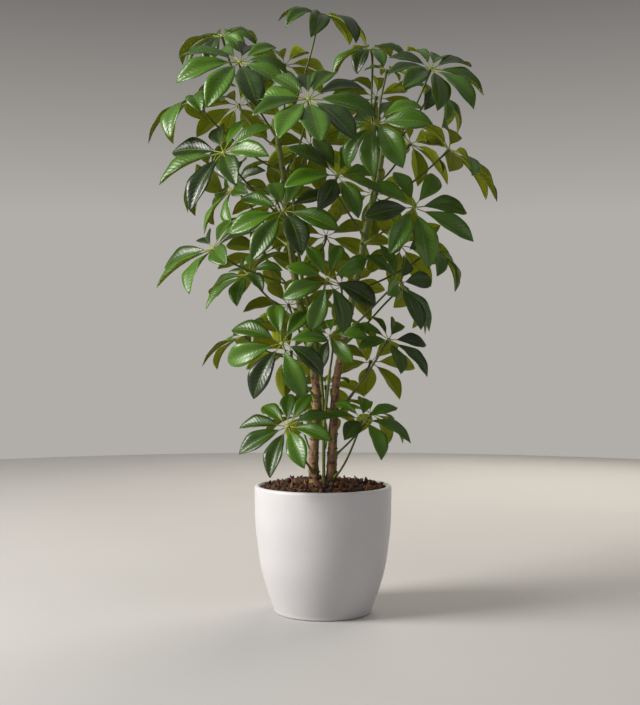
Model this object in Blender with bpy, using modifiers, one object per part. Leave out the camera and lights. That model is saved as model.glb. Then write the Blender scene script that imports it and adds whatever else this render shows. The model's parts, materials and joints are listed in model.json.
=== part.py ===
"""Potted umbrella plant (Schefflera): two trunks and two thin stems in a turned pot, with compound leaves.

Metres, +Z up. The origin is the centre of the pot's base, and the front is -Y.
"""

from collections import namedtuple
from math import atan2, cos, pi, radians, sin

import bmesh
import bpy
from mathutils import Matrix, Vector

MM = 0.001
GAP = 0.3 * MM  # between pieces that touch on the real plant

# Pot: a turned wall with a rounded rim, standing on a flat base with drain holes.
POT_HEIGHT = 0.187
RIM_RADIUS = 0.102
RIM_WIDTH = 0.008
WALL = 0.005
FLOOR = 0.006
POT_SIDES = 40
POT_OUTSIDE = [(101.5, 160), (100.8, 132), (96.8, 94), (92, 63.5), (84, 35), (77.5, 16), (73.5, 5)]  # r, z in mm
BASE_RADIUS = 0.0695
LIP_DEPTH = 0.011  # how far down the inside the thick rim reaches
DRAIN_HOLES = 6
DRAIN_RADIUS = 0.0045
DRAIN_RING = 0.045
DRAIN_TURN = 2.5  # degrees, which keeps the holes off the seams between the wall's faces

# Soil: fills the pot to just under the rim, and is heaped a little above it round the trunks.
SOIL_EDGE = 0.175
SOIL_SHOULDER = (0.055, 0.185)  # radius, z
SOIL_MIDDLE = 0.189

# Stems: routes from 60 mm below the soil's surface to the tip, as (x, y, z, radius) in mm. They stand
# straight in the soil, up to their second point.
STEM_SPACING = 0.045
STEM_CLEARANCE = 0.01  # how far above the soil its holes are cut
Stem = namedtuple("Stem", "name colour route")
STEMS = [
    Stem("left_trunk", "bark", [
        (-13, -4, 115, 8), (-13, -4, 191, 8), (-14, -4, 225, 7), (-9, -5, 303, 6.3), (-11, -5, 337, 6),
        (-23, -3, 414, 5.8), (-37, 0, 468, 5.5), (-47, 2, 532, 5.2), (-58, 4, 640, 4.6), (-68, 6, 702, 3.6),
        (-74, 7, 726, 3)]),
    Stem("right_trunk", "bark", [
        (12, 3, 115, 7.8), (12, 3, 191, 7.8), (14, 3, 236, 6.8), (17, 4, 301, 6.2), (20, 4, 343, 6),
        (40, 5, 446, 5.6), (58, 6, 534, 5.2), (67, 5, 580, 5), (81, 4, 635, 4.5), (87, 4, 675, 4), (93, 4, 702, 3)]),
    Stem("middle_stem", "green", [
        (1, -16, 115, 2.4), (1, -16, 194, 2.4), (1, -16, 258, 2.3), (4, -16, 301, 2.2), (10, -17, 356, 2)]),
    Stem("slim_stem", "green", [
        (1, 20, 115, 2.3), (1, 20, 195, 2.3), (1, 20, 290, 2.2), (-5, 12, 370, 2.5), (-16, -6, 437, 2.6),
        (-28, -14, 478, 2.6), (-36, -16, 530, 2.5), (-47, -18, 648, 2.3), (-48, -20, 664, 2.1)]),
]

# Leaves. node is the height on the stem, and hub the point where the leaflets meet (both mm). The
# leaflets' umbrella leans towards facing (0 front, 90 right, 180 back) by tilt from upright, and turn
# is the first leaflet's place round the hub. droop is how far below level the tips point (degrees).
PETIOLE_RADIUS = 0.0017
SHEATH_RADIUS = 0.0028
HUB_RADIUS = 0.0042
HUB_HEIGHT = 0.0026
PETIOLULE_SHARE = 0.22
WIDEST_SHARE = 0.62
BLADE_WIDTH_SHARE = 0.36  # of a leaflet's length
PETIOLULE_WIDTH = 0.0022
BLADE_THICKNESS = 0.001
INNER_SHRINK = 0.30  # leaflets on the stem's side are this much shorter
HUB_RISE = 15  # degrees above level at which leaflets leave the hub
PETIOLE_STEPS = 4
PETIOLE_BEND = 0.28  # how far its ends run straight, as a share of its span
SHEATH_LENGTH = 0.006

Leaf = namedtuple("Leaf", "name stem node hub facing tilt turn length count droop")
L, R, M, S = "left_trunk", "right_trunk", "middle_stem", "slim_stem"
LEAVES = [
    # crown
    Leaf("top_centre", L, 716, (-5, -10, 885), 40, 20, 15, 90, 8, 60),
    Leaf("top_left", L, 722, (-155, 50, 870), -25, 30, 5, 86, 8, 67),
    Leaf("upper_left", L, 710, (-120, -60, 802), 0, 45, 20, 100, 9, 40),
    Leaf("far_left", L, 655, (-192, -10, 760), -80, 35, 5, 96, 8, 50),
    Leaf("top_right", R, 692, (73, 20, 842), -25, 25, 10, 76, 8, 60),
    Leaf("right_crown", R, 680, (156, -50, 795), 20, 45, 30, 92, 9, 35),
    Leaf("right_crown_back", R, 686, (168, 60, 787), 60, 35, 5, 85, 8, 60),
    Leaf("young_right", R, 697, (95, -8, 803), 55, 15, 5, 42, 6, 40),
    Leaf("upper_centre", S, 655, (-20, -120, 735), 0, 50, 20, 102, 10, 20),
    # shoulder
    Leaf("centre_right", R, 600, (72, -110, 703), -30, 55, 0, 84, 9, 50),
    Leaf("right", R, 606, (187, -10, 685), 90, 45, 42, 104, 8, 20),
    Leaf("left_middle", L, 580, (-142, -80, 668), -30, 50, 15, 102, 8, 20),
    Leaf("left_middle_back", L, 545, (-138, 50, 636), -65, 55, 10, 92, 8, 35),
    Leaf("centre", R, 556, (20, -105, 632), 25, 55, 28, 84, 8, 20),
    # middle
    Leaf("centre_left", L, 505, (-55, -110, 582), -10, 52, 20, 90, 8, 20),
    Leaf("right_middle", R, 547, (129, -80, 590), 20, 60, 18, 96, 8, 30),
    Leaf("right_middle_back", R, 478, (165, 40, 545), 70, 40, 0, 84, 8, 45),
    Leaf("left_lower", L, 482, (-161, -30, 537), -50, 45, 5, 100, 8, 20),
    Leaf("left_lower_back", L, 432, (-115, 50, 505), -50, 40, 10, 86, 8, 30),
    Leaf("centre_lower", L, 400, (6, -100, 486), 10, 80, 41, 80, 8, 35),
    Leaf("right_lower", R, 418, (109, -65, 485), 55, 60, 48, 86, 7, 10),
    # low
    Leaf("left_low", L, 318, (-58, -100, 397), -5, 65, 15, 92, 8, 50),
    Leaf("left_low_back", L, 365, (-120, 20, 410), -100, 35, 32, 80, 7, 40),
    Leaf("centre_low", M, 345, (11, -65, 408), -25, 50, 3, 58, 7, 45),
    Leaf("right_low", R, 303, (96, -40, 403), 40, 45, 0, 78, 7, 20),
    Leaf("right_low_back", R, 340, (38, 80, 425), 145, 25, 22, 72, 7, 65),
    Leaf("bottom_left", L, 208, (-50, -90, 280), -20, 50, 38, 80, 9, 20),
    Leaf("bottom_right", R, 198, (57, -50, 288), 25, 35, 37, 76, 7, 20),
    Leaf("bottom_middle", S, 240, (13, 52, 288), 165, 30, 5, 44, 6, 35),
    # back
    Leaf("crown_back", L, 700, (-60, 85, 835), 180, 25, 0, 84, 8, 55),
    Leaf("crown_right_back", R, 670, (85, 110, 790), 160, 35, 0, 84, 8, 45),
    Leaf("upper_left_back", L, 690, (-135, 120, 780), -140, 35, 0, 86, 8, 45),
    Leaf("shoulder_back", S, 640, (-20, 115, 715), 180, 45, 0, 90, 9, 35),
    Leaf("shoulder_right_back", R, 640, (135, 50, 705), 105, 40, 20, 86, 8, 30),
    Leaf("shoulder_left_back", L, 620, (-180, 100, 675), -100, 50, 16, 86, 8, 35),
    Leaf("middle_right_back", R, 575, (80, 130, 640), 160, 45, 0, 88, 8, 35),
    Leaf("middle_left_back", L, 560, (-75, 130, 630), -160, 50, 0, 90, 8, 30),
    Leaf("waist_right_back", R, 520, (125, 120, 555), 170, 55, 5, 86, 8, 25),
    Leaf("waist_back", S, 500, (5, 120, 570), 180, 50, 0, 84, 8, 30),
    Leaf("waist_left_back", L, 470, (-95, 140, 545), -160, 50, 15, 86, 8, 25),
    Leaf("lower_back", R, 420, (30, 120, 490), 180, 50, 0, 84, 8, 30),
    Leaf("lower_right_back", R, 400, (125, 80, 485), 90, 55, 30, 84, 8, 35),
    Leaf("lower_left_back", L, 380, (-55, 115, 460), -160, 50, 0, 84, 8, 30),
    Leaf("low_right_back", R, 290, (75, 80, 370), 160, 50, 47, 78, 7, 25),
    Leaf("low_back", L, 300, (-50, 90, 385), -175, 55, 30, 78, 7, 35),
    Leaf("low_middle_back", L, 262, (5, 120, 330), 185, 35, 30, 76, 7, 55),
    Leaf("bottom_right_back", R, 230, (75, 60, 290), 130, 35, 0, 70, 7, 45),
    Leaf("bottom_back", L, 225, (-35, 85, 285), -170, 35, 0, 72, 7, 45),
]


def remove_everything():
    for old in list(bpy.data.objects):
        bpy.data.objects.remove(old, do_unlink=True)


def collection(name):
    made = bpy.data.collections.new(name)
    bpy.context.scene.collection.children.link(made)
    return made


def material(name, colour, roughness):
    made = bpy.data.materials.new(name)
    made.use_nodes = True
    shader = made.node_tree.nodes["Principled BSDF"]
    shader.inputs["Base Color"].default_value = (*colour, 1)
    shader.inputs["Roughness"].default_value = roughness
    made.diffuse_color = (*colour, 1)
    return made


def add_object(name, mesh, finish, home):
    made = bpy.data.objects.new(name, mesh)
    made.data.materials.append(finish)
    home.objects.link(made)
    return made


def turned(name, profile, sides, finish, home):
    """A solid turned about Z from a profile of (radius, z), whose ends lie on the axis."""
    mesh = bpy.data.meshes.new(name)
    steps = [(i, i + 1) for i in range(len(profile) - 1)]
    mesh.from_pydata([(r, 0, z) for r, z in profile], steps, [])
    made = add_object(name, mesh, finish, home)
    screw = made.modifiers.new("Turn", "SCREW")
    screw.steps = screw.render_steps = sides
    screw.use_merge_vertices = True
    screw.merge_threshold = 0.00005
    screw.use_smooth_shade = True
    return made


def subtract(made, cutter):
    cut = made.modifiers.new("Cut", "BOOLEAN")
    cut.operation = "DIFFERENCE"
    cut.object = cutter


def cylinder(name, radius, bottom, top, at, sides, home):
    bm = bmesh.new()
    place = Matrix.Translation((at[0], at[1], (bottom + top) / 2))
    bmesh.ops.create_cone(
        bm, cap_ends=True, segments=sides, radius1=radius, radius2=radius, depth=top - bottom, matrix=place
    )
    mesh = bpy.data.meshes.new(name)
    bm.to_mesh(mesh)
    bm.free()
    made = bpy.data.objects.new(name, mesh)
    made.hide_render = True
    made.display_type = "WIRE"
    home.objects.link(made)
    return made


def inside_wall():
    """The pot's inner wall from its floor to under the rim, as (radius, z)."""
    wall = [(r * MM - WALL, z * MM) for r, z in reversed(POT_OUTSIDE) if z * MM > FLOOR]
    floor_edge = (wall[0][0] - (wall[0][1] - FLOOR) * 0.4, FLOOR)
    return [floor_edge] + wall + [(RIM_RADIUS - RIM_WIDTH, POT_HEIGHT - LIP_DEPTH)]


def radius_at(wall, z):
    """A turned wall's radius at a height, from its (radius, z) points in rising order."""
    for (r1, z1), (r2, z2) in zip(wall, wall[1:]):
        if z1 <= z <= z2:
            return r1 + (r2 - r1) * (z - z1) / (z2 - z1)


def pot_profile():
    bead = RIM_WIDTH / 2
    rim = [
        (RIM_RADIUS - bead - bead * cos(a), POT_HEIGHT - bead + bead * sin(a))
        for a in [radians(degrees) for degrees in (0, 45, 90, 135, 180)]
    ]
    outside = [(r * MM, z * MM) for r, z in POT_OUTSIDE]
    return [(0, FLOOR)] + inside_wall() + rim + outside + [(BASE_RADIUS, 0), (0, 0)]


def make_pot(home, cutters):
    finish = material("pot_plastic", (0.68, 0.66, 0.68), 0.45)
    pot = turned("pot", pot_profile(), POT_SIDES, finish, home)
    for hole in range(DRAIN_HOLES):
        angle = 2 * pi * hole / DRAIN_HOLES + radians(DRAIN_TURN)
        at = (DRAIN_RING * cos(angle), DRAIN_RING * sin(angle))
        name = f"drain_cutter_{hole + 1}"
        subtract(pot, cylinder(name, DRAIN_RADIUS, -FLOOR, 2 * FLOOR, at, 12, cutters))


def make_soil(home, cutters):
    wall = inside_wall()
    levels = [SOIL_EDGE] + [z for _, z in reversed(wall) if FLOOR < z < SOIL_EDGE] + [FLOOR + GAP]
    side = [(radius_at(wall, z) - GAP, z) for z in levels]
    profile = [(0, SOIL_MIDDLE), SOIL_SHOULDER] + side + [(0, FLOOR + GAP)]
    soil = turned("soil", profile, POT_SIDES, material("potting_soil", (0.05, 0.032, 0.02), 0.95), home)
    for stem in STEMS:
        x, y, foot_z, radius = (value * MM for value in stem.route[0])
        name = f"{stem.name}_hole"
        subtract(soil, cylinder(name, radius + GAP, foot_z - GAP, SOIL_MIDDLE + STEM_CLEARANCE, (x, y), 16, cutters))


def stem_points(route):
    """Evenly spaced (centre, radius) up a stem, on a smooth curve through its route's points (metres)."""
    points = [Vector(p) * MM for p in route]
    straight, top = points[1].z, points[-1].z
    steps = round((top - straight) / STEM_SPACING)
    made = [(points[0].xyz, points[0].w)]
    for step in range(steps + 1):
        z = straight + (top - straight) * step / steps
        i = max(k for k in range(1, len(points) - 1) if k == 1 or points[k].z <= z)
        before, start, end, after = (points[min(k, len(points) - 1)] for k in (i - 1, i, i + 1, i + 2))
        span = end.z - start.z
        t = (z - start.z) / span
        leaving = (end - before) / (end.z - before.z) * span
        arriving = (after - start) / (after.z - start.z) * span
        found = (
            (2 * t**3 - 3 * t**2 + 1) * start
            + (t**3 - 2 * t**2 + t) * leaving
            + (3 * t**2 - 2 * t**3) * end
            + (t**3 - t**2) * arriving
        )
        made.append((Vector((found.x, found.y, z)), found.w))
    return made


def on_stem(name, z):
    """The centre, radius and direction of a stem at a height."""
    points = stem_points(next(stem.route for stem in STEMS if stem.name == name))
    for (below, radius1), (above, radius2) in zip(points, points[1:]):
        if z <= above.z:
            t = (z - below.z) / (above.z - below.z)
            return below.lerp(above, t), radius1 + (radius2 - radius1) * t, (above - below).normalized()


def make_stem(stem, finish, home):
    points = stem_points(stem.route)
    curve = bpy.data.curves.new(stem.name, "CURVE")
    curve.dimensions = "3D"
    curve.bevel_depth = 1
    curve.bevel_resolution = 2
    curve.use_fill_caps = True
    spline = curve.splines.new("POLY")
    spline.points.add(len(points) - 1)
    for point, (centre, radius) in zip(spline.points, points):
        point.co = (*centre, 1)
        point.radius = radius
    curve.materials.append(finish)
    home.objects.link(bpy.data.objects.new(stem.name, curve))


def leaf_axes(leaf):
    """The umbrella's own axes: away from the stem, across, and along the umbrella's handle."""
    facing, tilt = radians(leaf.facing), radians(leaf.tilt)
    handle = Vector((sin(facing) * sin(tilt), -cos(facing) * sin(tilt), cos(tilt)))
    away = Vector(leaf.hub) * MM - on_stem(leaf.stem, leaf.node * MM)[0]
    away.z = 0
    away = (away - away.dot(handle) * handle).normalized()
    return away, handle.cross(away), handle


def leaflet_out(leaf, k):
    """The direction, in the umbrella's plane, in which leaflet k leaves the hub."""
    away, across, _ = leaf_axes(leaf)
    angle = radians(leaf.turn) + 2 * pi * k / leaf.count
    return cos(angle) * away + sin(angle) * across


def leaflet_frame(leaf, k, share):
    """Leaflet k's centre, way across and upper side's normal at a share of its length, on a drooping arc."""
    away, _, handle = leaf_axes(leaf)
    out = leaflet_out(leaf, k)
    length = leaf.length * MM * (1 - INNER_SHRINK * (1 - out.dot(away)) / 2)
    rise, fall = radians(HUB_RISE), radians(HUB_RISE + leaf.droop)
    bend = rise - fall * share
    reach = (sin(rise) - sin(bend)) / fall
    lift = (cos(bend) - cos(rise)) / fall
    centre = Vector(leaf.hub) * MM + (HUB_RADIUS + reach * length) * out + lift * length * handle
    return centre, handle.cross(out), cos(bend) * handle - sin(bend) * out


def grow_leaflet(bm, face, leaf, k):
    """Extrudes one side face of the hub into a leaflet: its stalk, its widest part and its pointed tip."""
    last_upper = leaf_axes(leaf)[2]
    blade_width = BLADE_WIDTH_SHARE * leaf.length * MM
    for share, width in ((PETIOLULE_SHARE, PETIOLULE_WIDTH), (WIDEST_SHARE, blade_width), (1, 0)):
        face = bmesh.ops.extrude_discrete_faces(bm, faces=[face])["faces"][0]
        middle = face.calc_center_median()
        centre, across, upper = leaflet_frame(leaf, k, share)
        for vert in face.verts:
            offset = vert.co - middle
            side = width / 2 if offset.dot(across) > 0 else -width / 2
            lift = BLADE_THICKNESS / 2 if offset.dot(last_upper) > 0 else -BLADE_THICKNESS / 2
            vert.co = centre + side * across + lift * upper
        last_upper = upper
    bmesh.ops.pointmerge(bm, verts=face.verts[:], merge_co=centre)


def petiole_path(leaf):
    """Points, directions and radii down the petiole, from under the hub to its sheath against the stem."""
    handle = leaf_axes(leaf)[2]
    node, radius, lean = on_stem(leaf.stem, leaf.node * MM)
    top = Vector(leaf.hub) * MM - handle * HUB_HEIGHT / 2
    outward = top - node
    outward = (outward - outward.dot(lean) * lean).normalized()
    foot = node + (radius + GAP) * outward
    span = (top - foot).length
    bend1 = top - PETIOLE_BEND * span * handle
    bend2 = foot + PETIOLE_BEND * span * (outward + 0.6 * lean).normalized()
    for step in range(1, PETIOLE_STEPS):
        t = step / PETIOLE_STEPS
        point = (1 - t)**3 * top + 3 * t * (1 - t)**2 * bend1 + 3 * t**2 * (1 - t) * bend2 + t**3 * foot
        way = (1 - t)**2 * (bend1 - top) + 2 * t * (1 - t) * (bend2 - bend1) + t**2 * (foot - bend2)
        yield point, way.normalized(), PETIOLE_RADIUS
    yield foot + SHEATH_LENGTH * (outward + 0.5 * lean), -(outward + 0.5 * lean).normalized(), SHEATH_RADIUS
    yield foot, -outward, SHEATH_RADIUS


def grow_petiole(bm, face, leaf):
    """Extrudes the hub's underside down to the stem, as one tube with as many sides as the leaf has leaflets."""
    away, _, handle = leaf_axes(leaf)
    side = away.cross(Vector((0, 0, 1))).normalized()
    last_way = -handle
    for point, way, radius in petiole_path(leaf):
        face = bmesh.ops.extrude_discrete_faces(bm, faces=[face])["faces"][0]
        middle = face.calc_center_median()
        old_u = (side - side.dot(last_way) * last_way).normalized()
        old_v = last_way.cross(old_u)
        new_u = (side - side.dot(way) * way).normalized()
        new_v = way.cross(new_u)
        for vert in face.verts:
            offset = vert.co - middle
            angle = atan2(offset.dot(old_v), offset.dot(old_u))
            vert.co = point + radius * (cos(angle) * new_u + sin(angle) * new_v)
        last_way = way


def make_leaf(leaf, finish, home):
    """One compound leaf: a hub whose side faces grow into leaflets and whose underside grows into the petiole."""
    away, across, handle = leaf_axes(leaf)
    corner = radians(leaf.turn) - pi / leaf.count
    y_axis = cos(corner) * away + sin(corner) * across
    place = Matrix((y_axis.cross(handle), y_axis, handle)).transposed().to_4x4()
    place.translation = Vector(leaf.hub) * MM
    bm = bmesh.new()
    bmesh.ops.create_cone(
        bm, cap_ends=True, segments=leaf.count, radius1=HUB_RADIUS, radius2=HUB_RADIUS, depth=HUB_HEIGHT, matrix=place
    )
    bm.normal_update()
    under = min(bm.faces, key=lambda face: face.normal.dot(handle))
    sides = [face for face in bm.faces if abs(face.normal.dot(handle)) < 0.5]
    outs = [leaflet_out(leaf, k) for k in range(leaf.count)]
    roots = [max(sides, key=lambda face: face.normal.dot(out)) for out in outs]
    for k, root in enumerate(roots):
        grow_leaflet(bm, root, leaf, k)
    grow_petiole(bm, under, leaf)
    mesh = bpy.data.meshes.new(leaf.name)
    bm.to_mesh(mesh)
    bm.free()
    add_object(f"leaf_{leaf.name}", mesh, finish, home)


def main():
    remove_everything()
    plant = collection("potted_umbrella_plant")
    cutters = collection("cutters")
    make_pot(plant, cutters)
    make_soil(plant, cutters)
    stem_finish = {
        "bark": material("young_bark", (0.22, 0.14, 0.08), 0.8),
        "green": material("green_stem", (0.09, 0.13, 0.035), 0.55),
    }
    for stem in STEMS:
        make_stem(stem, stem_finish[stem.colour], plant)
    leaf_finish = material("leaf", (0.05, 0.14, 0.035), 0.35)
    for leaf in LEAVES:
        make_leaf(leaf, leaf_finish, plant)


main()
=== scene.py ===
# %% [markdown]
# # A potted umbrella plant, leaf by leaf
# An umbrella plant (Schefflera) carries its leaflets like the ribs of an umbrella: six to ten glossy blades
# round one hub, on a long petiole. This lesson grows 48 such leaves on two woody trunks and two thin green
# stems, in a plain moulded pot of bark and peat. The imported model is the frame: it fixes where each piece is,
# and every piece made here takes the place of one of its nodes.

import json
from collections import namedtuple
from math import cos, pi, radians, sin

import bmesh
import bpy
import numpy as np
from mathutils import Matrix, Vector, noise

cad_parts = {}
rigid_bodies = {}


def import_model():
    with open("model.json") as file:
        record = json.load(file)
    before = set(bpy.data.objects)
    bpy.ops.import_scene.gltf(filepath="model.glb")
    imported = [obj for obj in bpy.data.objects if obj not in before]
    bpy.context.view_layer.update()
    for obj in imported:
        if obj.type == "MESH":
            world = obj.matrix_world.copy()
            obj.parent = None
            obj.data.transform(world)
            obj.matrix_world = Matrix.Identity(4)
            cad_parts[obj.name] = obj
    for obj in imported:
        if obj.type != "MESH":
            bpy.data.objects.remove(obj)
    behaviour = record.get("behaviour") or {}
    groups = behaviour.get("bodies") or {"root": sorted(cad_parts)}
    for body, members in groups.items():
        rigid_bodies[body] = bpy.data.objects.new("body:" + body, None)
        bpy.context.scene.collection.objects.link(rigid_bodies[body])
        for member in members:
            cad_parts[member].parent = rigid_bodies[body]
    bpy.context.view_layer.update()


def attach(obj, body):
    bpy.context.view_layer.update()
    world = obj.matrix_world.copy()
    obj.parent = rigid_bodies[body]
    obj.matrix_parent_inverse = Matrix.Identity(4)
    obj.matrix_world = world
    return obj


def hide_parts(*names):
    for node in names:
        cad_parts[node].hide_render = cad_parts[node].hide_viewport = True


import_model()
MM = 0.001

# %% [markdown]
# Every material and every Geometry Nodes tree below is built by one small function. It adds a node, sets its
# options and fills its sockets: a value is typed in, and a node or a socket is linked. Sockets go by name,
# or by number where a node has several of the same name, such as the colours 6 and 7 of a Mix node. Colours
# are the hex values that a colour picker shows, so they are turned from sRGB to linear light first.

# %% Helpers for node trees
def linear(hex_colour):
    """An sRGB hex colour as linear RGBA."""
    parts = [int(hex_colour[i : i + 2], 16) / 255 for i in (1, 3, 5)]
    return (*[c / 12.92 if c <= 0.04045 else ((c + 0.055) / 1.055) ** 2.4 for c in parts], 1)


def node(tree, kind, sockets=(), **options):
    """Adds a node, sets its options and fills its sockets.

    sockets is a tuple for the first inputs in order, or maps an input's number or name to what goes in it: a
    value, a socket, or a node, which stands for its first output. A list fills a socket that takes several.
    """
    families = ("ShaderNode", "GeometryNode", "FunctionNode", "Node")
    made = tree.nodes.new(next(family + kind for family in families if hasattr(bpy.types, family + kind)))
    for name, value in options.items():
        setattr(made, name, value)
    for key, filling in (sockets if isinstance(sockets, dict) else dict(enumerate(sockets))).items():
        for value in filling if isinstance(filling, list) else [filling]:
            if isinstance(value, bpy.types.Node):
                value = next(out for out in value.outputs if out.enabled)
            if isinstance(value, bpy.types.NodeSocket):
                tree.links.new(value, made.inputs[key])
            else:
                made.inputs[key].default_value = value
    return made


def new_material(name):
    """An empty material, and its tree."""
    made = bpy.data.materials.new(name)
    made.use_nodes = True
    made.node_tree.nodes.clear()
    return made, made.node_tree


def new_tree(name, inputs):
    """An empty Geometry Nodes tree with named inputs, and the sockets that give them."""
    tree = bpy.data.node_groups.new(name, "GeometryNodeTree")
    for way in ("INPUT", "OUTPUT"):
        tree.interface.new_socket("Geometry", in_out=way, socket_type="NodeSocketGeometry")
    for label, kind in inputs.items():
        tree.interface.new_socket(label, in_out="INPUT", socket_type=f"NodeSocket{kind}")
    return tree, tree.nodes.new("NodeGroupInput").outputs


print(f"#808080 is {linear('#808080')[0]:.3f} in linear light")

# %% [markdown]
# A tree needs a mesh to work on. It is held by a short-lived object with a modifier, and what the modifier
# makes of it is kept as a plain mesh, because only a plain mesh can be handed to the frame.

# %% Helpers for pieces
def in_scene(name, data):
    """A new object of the given mesh, lamp or camera, in the scene."""
    made = bpy.data.objects.new(name, data)
    bpy.context.scene.collection.objects.link(made)
    return made


def as_mesh(bm, name):
    mesh = bpy.data.meshes.new(name)
    bm.to_mesh(mesh)
    bm.free()
    return mesh


def plain_mesh(holder):
    """What an object's modifiers make of it. The object itself is thrown away."""
    made = bpy.data.meshes.new_from_object(holder.evaluated_get(bpy.context.evaluated_depsgraph_get()))
    bpy.data.objects.remove(holder)
    return made


def grown(name, mesh, tree, values):
    """Runs a tree on a mesh with the given input values, and returns the result as a plain object."""
    holder = in_scene(name, mesh)
    modifier = holder.modifiers.new("Grow", "NODES")
    modifier.node_group = tree
    places = {item.name: item.identifier for item in tree.interface.items_tree if item.in_out == "INPUT"}
    for label, value in values.items():
        modifier[places[label]] = value
    result = plain_mesh(holder)
    result.name = name
    return in_scene(name, result)


def settle(piece, slot, *nodes):
    """Hands a finished piece to the frame: it rides the plant and stands for its nodes. The slot is not used.
    """
    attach(piece, "root")
    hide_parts(*nodes)


print("pieces ride on the body root")

# %% [markdown]
# ## The stems and the leaves' places
# The frame's makers chose these, and the same lists are repeated here. A stem is a route of (x, y, z,
# radius) in millimetres. A leaf leaves its stem at a height called its node, and its hub is where its
# leaflets meet. The umbrella leans towards a facing (0 front, 90 right, 180 back) by a tilt from upright,
# turn is its first leaflet's place round the hub, and droop is how far below level the tips point.

# %% Stems and leaves
STEM_SPACING = 0.045
Stem = namedtuple("Stem", "name colour route")
STEMS = [
    Stem("left_trunk", "bark", [
        (-13, -4, 115, 8), (-13, -4, 191, 8), (-14, -4, 225, 7), (-9, -5, 303, 6.3), (-11, -5, 337, 6),
        (-23, -3, 414, 5.8), (-37, 0, 468, 5.5), (-47, 2, 532, 5.2), (-58, 4, 640, 4.6), (-68, 6, 702, 3.6),
        (-74, 7, 726, 3)]),
    Stem("right_trunk", "bark", [
        (12, 3, 115, 7.8), (12, 3, 191, 7.8), (14, 3, 236, 6.8), (17, 4, 301, 6.2), (20, 4, 343, 6),
        (40, 5, 446, 5.6), (58, 6, 534, 5.2), (67, 5, 580, 5), (81, 4, 635, 4.5), (87, 4, 675, 4),
        (93, 4, 702, 3)]),
    Stem("middle_stem", "green", [
        (1, -16, 115, 2.4), (1, -16, 194, 2.4), (1, -16, 258, 2.3), (4, -16, 301, 2.2), (10, -17, 356, 2)]),
    Stem("slim_stem", "green", [
        (1, 20, 115, 2.3), (1, 20, 195, 2.3), (1, 20, 290, 2.2), (-5, 12, 370, 2.5), (-16, -6, 437, 2.6),
        (-28, -14, 478, 2.6), (-36, -16, 530, 2.5), (-47, -18, 648, 2.3), (-48, -20, 664, 2.1)]),
]

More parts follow.
